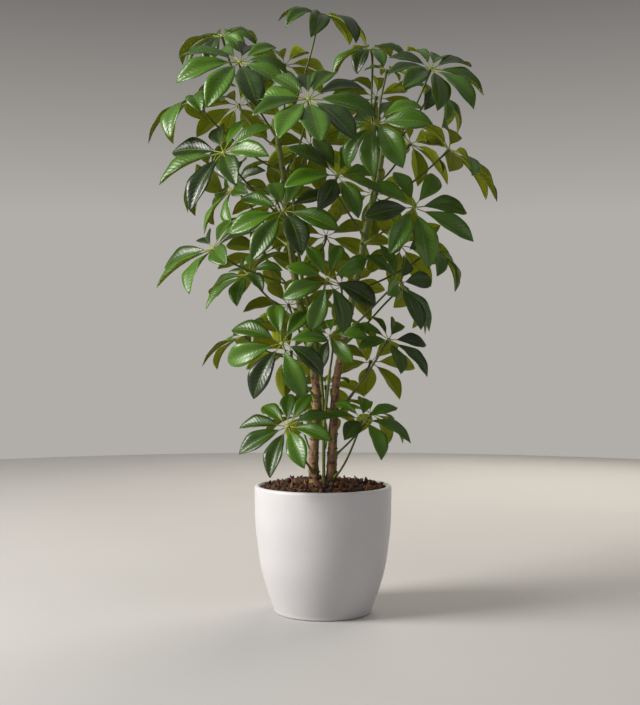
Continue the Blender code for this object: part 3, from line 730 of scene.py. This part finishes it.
# The darkest cork and the palest: rings and specks that break up the trunk.
SCAR = bark_material("Leaf scar, dry dark cork", "#5f432c", "#332112", "#4a3a1c", greener_above=0.9)
LENTICEL = bark_material("Lenticel, pale cork wart", "#a5835e", "#6c4e34", "#7c6f40", greener_above=0.9)
print(BARK.name, "|", SCAR.name, "|", LENTICEL.name)

# %% [markdown]
# ## Trunks and stems
# Each stem is a string of points two millimetres apart, and each point carries its own girth: a soft swelling
# where a living leaf joins, a fine ridge where one has fallen. The tip closes in a pointed bud.

# %% A stem's string of points
BUD = 9 * MM
SWELLING, SWELLING_REACH = 0.7 * MM, 4 * MM
RIDGE, RIDGE_REACH, RIDGE_EVERY = 0.5 * MM, 1.1 * MM, 13 * MM
LOWEST_RIDGE = 0.19  # just above the soil
FULL_GIRTH = 7 * MM  # the radius of a stem whose swellings and ridges are that high: thinner ones have less


def stem_string(stem, seed):
    """A stem's centre line as a mesh of vertices and edges, with a girth at each vertex."""
    stations = smooth_route(stem.route, 2 * MM)
    top, last = stations[-1]
    way = (top - stations[-2][0]).normalized()
    living = [leaf.node * MM for leaf in LEAVES if leaf.stem == stem.name]
    fallen = np.arange(LOWEST_RIDGE, top.z, RIDGE_EVERY)
    fallen = fallen + np.random.default_rng(seed).uniform(-4, 4, len(fallen)) * MM
    places, girths = [], []
    for centre, radius in stations:
        swelling = sum(SWELLING * np.exp(-((centre.z - z) / SWELLING_REACH) ** 2) for z in living)
        ridge = sum(RIDGE * np.exp(-((centre.z - z) / RIDGE_REACH) ** 2) for z in fallen)
        places.append(centre)
        girths.append(radius + (min(swelling, SWELLING) + ridge) * radius / FULL_GIRTH)
    for step in range(1, 9):
        t = step / 8
        places.append(top + way * BUD * t)
        girths.append(max(last * (1 - t**1.6), 0.15 * MM))
    mesh = bpy.data.meshes.new(stem.name)
    mesh.from_pydata(places, [(i, i + 1) for i in range(len(places) - 1)], [])
    mesh.attributes.new("girth", "FLOAT", "POINT").data.foreach_set("value", girths)
    return mesh


strings = [stem_string(stem, 60 + number) for number, stem in enumerate(STEMS)]
print("points on each stem:", [len(string.vertices) for string in strings])

# %% [markdown]
# Geometry Nodes turn the string into a tube and roughen it. They then walk up it and set a leaf scar every
# so often, each a golden angle round from the last, as buds are set on a real shoot. The warts are scattered
# over the skin. Woody and green stems have a tree each, because the skin is another material.

# %% The tree that grows a stem
SKIN, HEALED, WART = range(3)  # the numbers of a stem's parts
GOLDEN_ANGLE = 2.4
SCAR_SHAPE, SCAR_OUT = (0.24, 0.6, 0.26), 0.96  # in girths: deep, wide and high, and how far out it sits
WART_SHAPE = (1.0 * MM, 0.7 * MM, 0.6 * MM)


def scars_up(tree, curve, girth, given):
    """Scars in a spiral up a stem, each of its own height."""
    walk = node(tree, "CurveToPoints", {"Curve": curve, "Length": given["Scar spacing"]}, mode="LENGTH")
    golden = node(tree, "Math", (node(tree, "InputIndex"), GOLDEN_ANGLE), operation="MULTIPLY")
    spin = node(tree, "AxisAngleToRotation", {"Angle": golden})
    facing = node(tree, "RotateRotation", (walk.outputs["Rotation"], spin), rotation_space="LOCAL")
    ball = node(tree, "MeshUVSphere", {"Segments": 10, "Rings": 6, "Radius": 1.0})
    healed = node(tree, "StoreNamedAttribute", {
        "Geometry": ball, "Name": "part", "Value": HEALED}, **ON_FACES)
    scar = node(tree, "Transform", {"Geometry": healed, "Translation": (SCAR_OUT, 0, 0), "Scale": SCAR_SHAPE})
    (height,) = draws(tree, given["Seed"], (0.5, 1.25), first=4)
    shape = node(tree, "CombineXYZ", (1.0, height, height))
    reach = node(tree, "Math", (girth, given["Scar size"]), operation="MULTIPLY")
    size = node(tree, "VectorMath", {0: shape, "Scale": reach}, operation="SCALE")
    return node(tree, "InstanceOnPoints", {
        "Points": walk.outputs["Points"], "Instance": scar, "Rotation": facing, "Scale": size})


def warts_on(tree, skin, given):
    """Small oval warts, scattered over a stem's skin."""
    spots = node(tree, "DistributePointsOnFaces", {
        "Mesh": skin, "Density": given["Warts"], "Seed": given["Seed"]})
    grain = node(tree, "MeshIcoSphere", {"Radius": 1.0, "Subdivisions": 1})
    corky = node(tree, "StoreNamedAttribute", {"Geometry": grain, "Name": "part", "Value": WART}, **ON_FACES)
    wart = node(tree, "Transform", {"Geometry": corky, "Scale": WART_SHAPE})
    (size,) = draws(tree, given["Seed"], (0.6, 1.4), first=3)
    return node(tree, "InstanceOnPoints", {
        "Points": spots.outputs["Points"], "Instance": wart, "Rotation": spots.outputs["Rotation"],
        "Scale": size})


def stem_tree(name, skin):
    tree, given = new_tree(name, {
        "Sides": "Int", "Relief": "Float", "Scar spacing": "Float", "Scar size": "Float", "Warts": "Float",
        "Seed": "Int"})
    curve = node(tree, "MeshToCurve", (given["Geometry"],))
    girth = node(tree, "InputNamedAttribute", {"Name": "girth"}, data_type="FLOAT").outputs[0]
    bare = tube(tree, curve, given["Sides"], girth, SKIN)
    stretched = node(tree, "VectorMath", (node(tree, "InputPosition"), (1.0, 1.0, 0.4)), operation="MULTIPLY")
    lumps = node(tree, "TexNoise", {"Vector": stretched, "Scale": 1 / (7 * MM), "Detail": 3.0})
    centred = node(tree, "Math", (lumps.outputs["Fac"], 0.5), operation="SUBTRACT")
    out_by = node(tree, "Math", (centred, given["Relief"]), operation="MULTIPLY")
    push = node(tree, "VectorMath", {0: node(tree, "InputNormal"), "Scale": out_by}, operation="SCALE")
    rough = node(tree, "SetPosition", {"Geometry": bare, "Offset": push})
    parts = [rough, scars_up(tree, curve, girth, given), warts_on(tree, rough, given)]
    finished(tree, node(tree, "JoinGeometry", (parts,)), (skin, SCAR, LENTICEL))
    return tree


trunk_nodes = stem_tree("Grow trunk", BARK)
green_nodes = stem_tree("Grow green stem", GREEN_STEM)
print(f"stem tree: {len(trunk_nodes.nodes)} nodes, {len(trunk_nodes.links)} links")

# %% [markdown]
# A woody trunk is rounder, rougher and far more warty than a green stem. Otherwise the four are grown alike.

# %% Growing the stems
SCAR_EVERY = 7 * MM

for number, (stem, string) in enumerate(zip(STEMS, strings)):
    woody = stem.colour == "bark"
    values = {
        "Sides": 28 if woody else 14, "Relief": (2.0 if woody else 0.3) * MM, "Scar spacing": SCAR_EVERY,
        "Scar size": 1.0, "Warts": 11000.0 if woody else 1500.0, "Seed": 50 + number,
    }
    piece = grown(f"{stem.name}_bark", string, trunk_nodes if woody else green_nodes, values)
    settle(piece, "bark" if woody else "green_stem", stem.name)
    print(f"{piece.name}: {len(piece.data.polygons)} faces")

# %% [markdown]
# ## Potting mix
# The pot is filled with composted bark chips: coarse, angular, dark brown, with a red glint where a chip is
# freshly broken. A chip's tone sets how dark it is, so a few pale ones stand out from the rest.

# %% Composted bark
def chip_material():
    made, tree = new_material("Composted bark chips")
    place = node(tree, "TexCoord").outputs["Object"]
    tone = node(tree, "Attribute", attribute_name="tone").outputs["Fac"]
    grain = node(tree, "TexNoise", {
        "Vector": place, "Scale": 1 / (2.5 * MM), "Detail": 5.0, "Roughness": 0.7}).outputs["Fac"]
    mixed = node(tree, "Math", (grain, 0.7, tone), operation="MULTIPLY_ADD")
    ramp = node(tree, "ValToRGB", (node(tree, "Math", (mixed, 0.6), operation="MULTIPLY"),))
    stops = ramp.color_ramp.elements
    for stop, (at, colour) in zip((stops[0], stops[1]), ((0.12, "#110904"), (0.95, "#946238"))):
        stop.position, stop.color = at, linear(colour)
    for at, colour in ((0.38, "#2c190c"), (0.7, "#57341a")):
        stops.new(at).color = linear(colour)
    bump = node(tree, "Bump", {"Height": grain, "Strength": 0.8, "Distance": 0.7 * MM})
    crumb = node(tree, "BsdfPrincipled", {
        "Base Color": ramp.outputs["Color"], "Roughness": 0.88, "Normal": bump})
    node(tree, "OutputMaterial", (crumb,))
    return made


CHIPS = chip_material()  # damp and rough: no highlights, and deep darks between pale edges
print(CHIPS.name)

# %% [markdown]
# The soil itself is a disc that fills the pot. It rises a little towards the trunks, and noise makes its top
# lumpy, but not at the edge, where it meets the pot. It is built from rings of points, so that it is closed.

# %% The soil's lumpy body
SOIL_EDGE, SOIL_MIDDLE = 0.178, 0.187
SOIL_DEPTH = 0.032  # how far down the modelled soil reaches
SOIL_RADIUS = 0.0935
SOIL_RINGS, SOIL_SPOKES = 18, 72
LUMPS = 4.5 * MM


def soil_body():
    """A closed disc whose top rises towards the trunks and is lumpy."""
    bm = bmesh.new()
    turns = [2 * pi * spoke / SOIL_SPOKES for spoke in range(SOIL_SPOKES)]
    middle = bm.verts.new()
    rings = []
    for ring in range(1, SOIL_RINGS + 1):
        radius = SOIL_RADIUS * ring / SOIL_RINGS
        rings.append([bm.verts.new((radius * cos(turn), radius * sin(turn), 0)) for turn in turns])
    for vert in bm.verts:
        reach = vert.co.xy.length / SOIL_RADIUS
        lump = noise.noise(vert.co / (12 * MM)) + 0.5 * noise.noise(vert.co / (5 * MM))
        vert.co.z = SOIL_MIDDLE + (SOIL_EDGE - SOIL_MIDDLE) * reach**4 + LUMPS * lump * (1 - reach**8)
    rings.append([bm.verts.new((0.975 * v.co.x, 0.975 * v.co.y, SOIL_EDGE - SOIL_DEPTH)) for v in rings[-1]])
    for spoke in range(SOIL_SPOKES):
        beside = (spoke + 1) % SOIL_SPOKES
        bm.faces.new((middle, rings[0][spoke], rings[0][beside]))
        for inner, outer in zip(rings, rings[1:]):
            bm.faces.new((inner[spoke], outer[spoke], outer[beside], inner[beside]))
    bm.faces.new(rings[-1])
    bmesh.ops.recalc_face_normals(bm, faces=bm.faces[:])
    return as_mesh(bm, "soil")


soil_mesh = soil_body()
print(f"soil body: {len(soil_mesh.polygons)} faces")

# %% [markdown]
# The chips are thrown on the soil by Geometry Nodes, most of them 5 to 20 mm long. A chip is a ball of twenty
# faces that noise has pulled out of shape, in four kinds, and it is left flat, because a chip breaks flat.
# Points are kept a least distance apart, so the chips lie beside each other and not in heaps.

# %% The tree that throws the chips
CHIP_SHAPES = ((1.0, 0.5, 0.3), (0.8, 0.55, 0.4), (1.35, 0.36, 0.26), (0.6, 0.5, 0.42))  # in chip lengths


def broken_chips(tree):
    """The kinds of chip, as copies to choose from."""
    block = node(tree, "MeshIcoSphere", {"Radius": 0.5, "Subdivisions": 1})
    kinds = []
    for kind, shape in enumerate(CHIP_SHAPES):
        jag = node(tree, "TexNoise", {
            "Vector": node(tree, "InputPosition"), "W": 3.7 * kind, "Scale": 1.6, "Detail": 1.0,
        }, noise_dimensions="4D")
        centred = node(tree, "VectorMath", (jag.outputs["Color"], (0.5, 0.5, 0.5)), operation="SUBTRACT")
        shove = node(tree, "VectorMath", {0: centred, "Scale": 0.9}, operation="SCALE")
        broken = node(tree, "SetPosition", {"Geometry": block, "Offset": shove})
        flat = node(tree, "Transform", {"Geometry": broken, "Scale": shape})
        kinds.append(node(tree, "GeometryToInstance", (flat,)))
    return node(tree, "JoinGeometry", (kinds,))


def chip_tree():
    tree, given = new_tree("Throw chips", {
        "Density": "Float", "Spacing": "Float", "Chip": "Float", "Seed": "Int"})
    up = node(tree, "SeparateXYZ", (node(tree, "InputNormal"),)).outputs["Z"]
    upward = node(tree, "Compare", (up, 0.5), operation="GREATER_THAN")
    thrown = node(tree, "DistributePointsOnFaces", {
        "Mesh": given["Geometry"], "Selection": upward, "Distance Min": given["Spacing"],
        "Density Max": given["Density"], "Seed": given["Seed"]}, distribute_method="POISSON")
    choice = node(tree, "RandomValue", {
        4: 0, 5: len(CHIP_SHAPES) - 1, "Seed": given["Seed"]}, data_type="INT").outputs[2]
    roll, pitch, yaw, largeness, tone = draws(
        tree, given["Seed"], (-1.2, 1.2), (-1.2, 1.2), (0.0, 2 * pi), (0.35, 1.0), (0.0, 1.0))
    large = node(tree, "Math", (largeness, 1.3), operation="POWER")
    chips = node(tree, "InstanceOnPoints", {
        "Points": thrown.outputs["Points"], "Instance": broken_chips(tree), "Pick Instance": True,
        "Instance Index": choice, "Rotation": node(tree, "CombineXYZ", (roll, pitch, yaw)),
        "Scale": node(tree, "Math", (large, given["Chip"]), operation="MULTIPLY")})
    toned = node(tree, "StoreNamedAttribute", {
        "Geometry": chips, "Name": "tone", "Value": tone}, data_type="FLOAT", domain="INSTANCE")
    raised = node(tree, "Transform", {"Geometry": toned, "Translation": (0, 0, 1.0 * MM)})
    finished(tree, node(tree, "JoinGeometry", ([raised, given["Geometry"]],)), (CHIPS,))
    return tree


soil = grown("potting_mix", soil_mesh, chip_tree(), {
    "Density": 120000.0, "Spacing": 4.0 * MM, "Chip": 21 * MM, "Seed": 7})
settle(soil, "potting_soil", "soil")
print(f"{soil.name}: {len(soil.data.polygons)} faces")

# %% [markdown]
# ## The pot
# An injection-moulded plastic pot: thin walls, a rolled rim and a barrel curve down to a flat foot. It is a
# turned shape, so its profile is drawn once, smoothed through the frame's own points, and spun in 160 steps.
# Round cutters then open the drain holes.

# %% The pot's profile
POT_HEIGHT, RIM_RADIUS, RIM_WIDTH, WALL, FLOOR = 0.187, 0.102, 0.008, 0.005, 0.006
BASE_RADIUS = 0.0695
# radius and height in mm
POT_OUTSIDE = [(101.5, 160), (100.8, 132), (96.8, 94), (92, 63.5), (84, 35), (77.5, 16), (73.5, 5)]


def smoothed(points, between):
    """Points on a smooth curve through the given (radius, z) points."""
    made = []
    for i in range(len(points) - 1):
        before, start, end, after = (
            Vector(points[min(max(k, 0), len(points) - 1)]) for k in range(i - 1, i + 3))
        for step in range(between):
            t = step / between
            made.append(0.5 * (
                2 * start + (end - before) * t + (2 * before - 5 * start + 4 * end - after) * t**2
                + (3 * start - before - 3 * end + after) * t**3
            ))
    return made + [Vector(points[-1])]


def arc(centre, radius, first, last, steps):
    """A rounded corner, from one angle in degrees to another."""
    turns = [radians(first + (last - first) * i / steps) for i in range(steps + 1)]
    return [Vector((centre[0] + radius * cos(a), centre[1] + radius * sin(a))) for a in turns]


def pot_profile():
    """From the middle of the floor, up the inside, over the rim and down the outside to the foot's middle."""
    outside = smoothed([(r * MM, z * MM) for r, z in POT_OUTSIDE], 5)
    inside = [Vector((p.x - WALL, p.y)) for p in reversed(outside) if p.y > FLOOR + 6 * MM]
    floor_corner = arc((inside[0].x - 5 * MM, FLOOR + 5 * MM), 5 * MM, -90, 0, 5)
    bead = RIM_WIDTH / 2
    rim = arc((RIM_RADIUS - bead, POT_HEIGHT - bead), bead, 180, 0, 14)
    foot = arc((BASE_RADIUS + 0.5 * MM, 3.2 * MM), 3.2 * MM, -10, -90, 6)
    under = [Vector(p) for p in ((BASE_RADIUS - 4 * MM, 0), (BASE_RADIUS - 6 * MM, 1.2 * MM), (0, 1.2 * MM))]
    return [Vector((0, FLOOR))] + floor_corner + inside + rim + outside + foot + under


profile = pot_profile()
heights = [p.y / MM for p in profile]
print(f"profile: {len(profile)} points, {min(heights):.1f} to {max(heights):.1f} mm high")

# %% [markdown]
# The plastic is a matt white polypropylene with a breath of grey. The mould was spark-eroded, so the skin has
# a fine even grain instead of a gloss, and it shows a few faint rub marks. The real grain is a fifth of a
# millimetre; it is drawn three times as coarse, because anything finer is lost in the render.

# %% Moulded plastic
def pot_material():
    made, tree = new_material("Polypropylene, injection-moulded, matt white")
    place = node(tree, "TexCoord").outputs["Object"]
    grain = node(tree, "TexNoise", {"Vector": place, "Scale": 1 / (0.6 * MM), "Detail": 3.0}).outputs["Fac"]
    cloud = node(tree, "TexNoise", {"Vector": place, "Scale": 1 / (45 * MM), "Detail": 3.0}).outputs["Fac"]
    drawn = node(tree, "Mapping", {"Vector": place, "Scale": (1.0, 1.0, 6.0), "Rotation": (0.5, 0.2, 0)})
    rubs = node(tree, "TexNoise", {
        "Vector": drawn, "Scale": 1 / (9 * MM), "Detail": 6.0, "Roughness": 0.7}).outputs["Fac"]
    rubbed = node(tree, "MapRange", {"Value": rubs, "From Min": 0.6, "From Max": 0.75, "To Max": 0.35})
    body = node(tree, "Mix", {0: cloud, 6: linear("#c1bfc0"), 7: linear("#b8b6b8")}, data_type="RGBA")
    skin = node(tree, "Mix", {0: rubbed, 6: body, 7: linear("#adabac")}, data_type="RGBA")
    sheen = node(tree, "MapRange", {"Value": cloud, "To Min": 0.42, "To Max": 0.54})
    bump = node(tree, "Bump", {"Height": grain, "Strength": 0.35, "Distance": 0.12 * MM})
    cover = node(tree, "BsdfPrincipled", {
        "Base Color": skin, "Roughness": sheen, "Normal": bump, "IOR": 1.49})
    node(tree, "OutputMaterial", (cover,))
    return made


PLASTIC = pot_material()  # matt: one broad, soft highlight that shades round the pot without an edge
print(PLASTIC.name)

# %% [markdown]
# Spinning leaves doubled points where the profile starts and ends, so they are merged and the normals are
# worked out again. The holes are cut by a Boolean, and sharp edges stay sharp where two faces meet at over 40
# degrees.

# %% Turning the pot and opening its drains
SPIN_STEPS = 160
DRAIN_HOLES, DRAIN_RADIUS, DRAIN_RING = 6, 4.5 * MM, 45 * MM
DRAIN_TURN = radians(2.5)


def turned_pot():
    bm = bmesh.new()
    line = [bm.verts.new((p.x, 0, p.y)) for p in profile]
    edges = [bm.edges.new(pair) for pair in zip(line, line[1:])]
    bmesh.ops.spin(
        bm, geom=line + edges, cent=(0, 0, 0), axis=(0, 0, 1), angle=2 * pi, steps=SPIN_STEPS, use_merge=True)
    bmesh.ops.remove_doubles(bm, verts=bm.verts[:], dist=1e-6)
    bmesh.ops.recalc_face_normals(bm, faces=bm.faces[:])
    return as_mesh(bm, "turned_pot")


def drain_cutters():
    bm = bmesh.new()
    for hole in range(DRAIN_HOLES):
        angle = 2 * pi * hole / DRAIN_HOLES + DRAIN_TURN
        at = Matrix.Translation((DRAIN_RING * cos(angle), DRAIN_RING * sin(angle), FLOOR / 2))
        bmesh.ops.create_cone(
            bm, cap_ends=True, segments=32, radius1=DRAIN_RADIUS, radius2=DRAIN_RADIUS, depth=3 * FLOOR,
            matrix=at)
    return as_mesh(bm, "drain_cutters")


cutters = in_scene("drain_cutters", drain_cutters())
blank = in_scene("pot_blank", turned_pot())
drilled = blank.modifiers.new("Drains", "BOOLEAN")
drilled.object, drilled.operation, drilled.solver = cutters, "DIFFERENCE", "EXACT"
pot_mesh = plain_mesh(blank)
bpy.data.objects.remove(cutters)
pot_mesh.materials.clear()
pot_mesh.materials.append(PLASTIC)
pot_mesh.shade_smooth()
pot_mesh.set_sharp_from_angle(angle=radians(40))
pot = in_scene("moulded_pot", pot_mesh)
settle(pot, "pot_plastic", "pot")
print(f"{pot.name}: {len(pot_mesh.polygons)} faces")

# %% [markdown]
# ## The stage
# A pale painted floor, round and wide enough to reach behind the plant. Its paint is matt, so the pot leaves
# a soft shadow on it and no reflection.

# %% Floor
FLOOR_RADIUS = 2.6


def matt_floor():
    made, tree = new_material("Studio floor, matt pale paint")
    place = node(tree, "TexCoord").outputs["Object"]
    cloud = node(tree, "TexNoise", {"Vector": place, "Scale": 3.0, "Detail": 4.0}).outputs["Fac"]
    tint = node(tree, "Mix", {0: cloud, 6: linear("#a9a7a5"), 7: linear("#a3a19f")}, data_type="RGBA")
    node(tree, "OutputMaterial", (node(tree, "BsdfPrincipled", {"Base Color": tint, "Roughness": 0.75}),))
    return made


bm = bmesh.new()
bmesh.ops.create_circle(bm, cap_ends=True, segments=96, radius=FLOOR_RADIUS)
floor = in_scene("studio_floor", as_mesh(bm, "studio_floor"))
floor.data.materials.append(matt_floor())
print(f"floor: {2 * FLOOR_RADIUS} m across")

# %% [markdown]
# One large soft box stands high on the left, as window light falls, and gives the leaves their long
# highlights and the pot its shaded side. A weaker one fills from the right, and a third behind the plant
# lights the leaves from the back, so that the undersides glow; the leaves don't mirror that one, or they
# would glitter. The sky is a gradient, pale at the horizon and darker overhead: wax mirrors what is above it,
# and a dark ceiling keeps it green. A wide, faint lamp from straight above evens out the floor.

# %% Sky and lamps
world = bpy.data.worlds.new("Studio sky")
bpy.context.scene.world = world
world.use_nodes = True
sky = world.node_tree
sky.nodes.clear()
aim = node(sky, "SeparateXYZ", (node(sky, "TexCoord").outputs["Generated"],)).outputs["Z"]
climb = node(sky, "MapRange", {"Value": aim, "From Min": 0.12, "From Max": 0.42})
shade = node(sky, "Mix", {0: climb, 6: linear("#f8f3ed"), 7: linear("#2c2b2a")}, data_type="RGBA")
node(sky, "OutputWorld", (node(sky, "Background", {"Color": shade, "Strength": 0.47}),))


def soft_box(name, place, aim_at, size, watts, tint, mirrored):
    """A round area lamp. Glossy surfaces show it only if it is mirrored."""
    light = bpy.data.lights.new(name, "AREA")
    light.shape, light.size, light.energy, light.color = "DISK", size, watts, linear(tint)[:3]
    lamp = in_scene(name, light)
    lamp.location = place
    lamp.rotation_euler = (Vector(aim_at) - Vector(place)).to_track_quat("-Z", "Y").to_euler()
    lamp.visible_glossy = mirrored
    print(f"{name}: {watts} W, {size} m across")


soft_box("key", (-2.4, -0.75, 1.75), (0, 0, 0.5), 1.4, 152, "#fffcf8", mirrored=True)
soft_box("fill", (1.9, -1.1, 0.9), (0, 0, 0.45), 1.4, 5, "#f2f5ff", mirrored=True)
soft_box("back", (0.9, 1.9, 1.5), (0, 0, 0.6), 2.0, 50, "#fff6e6", mirrored=False)

sun = bpy.data.lights.new("ceiling", "SUN")
sun.energy, sun.angle = 0.8, radians(100)
in_scene("ceiling", sun)

# %% [markdown]
# ## The camera
# It looks level at the plant from its front, 1.65 m away, at about half the plant's height.

# %% Camera
lens = bpy.data.cameras.new("front_view")
lens.lens, lens.sensor_width = 56.5, 36
camera = in_scene("front_view", lens)
camera.location = (-0.0046, -1.65, 0.384)
camera.rotation_euler = (pi / 2, 0, 0)
bpy.context.scene.camera = camera
bpy.context.scene.view_settings.view_transform = "Standard"
print(f"camera: {lens.lens:.1f} mm lens, {-camera.location.y:.2f} m from the pot's axis")
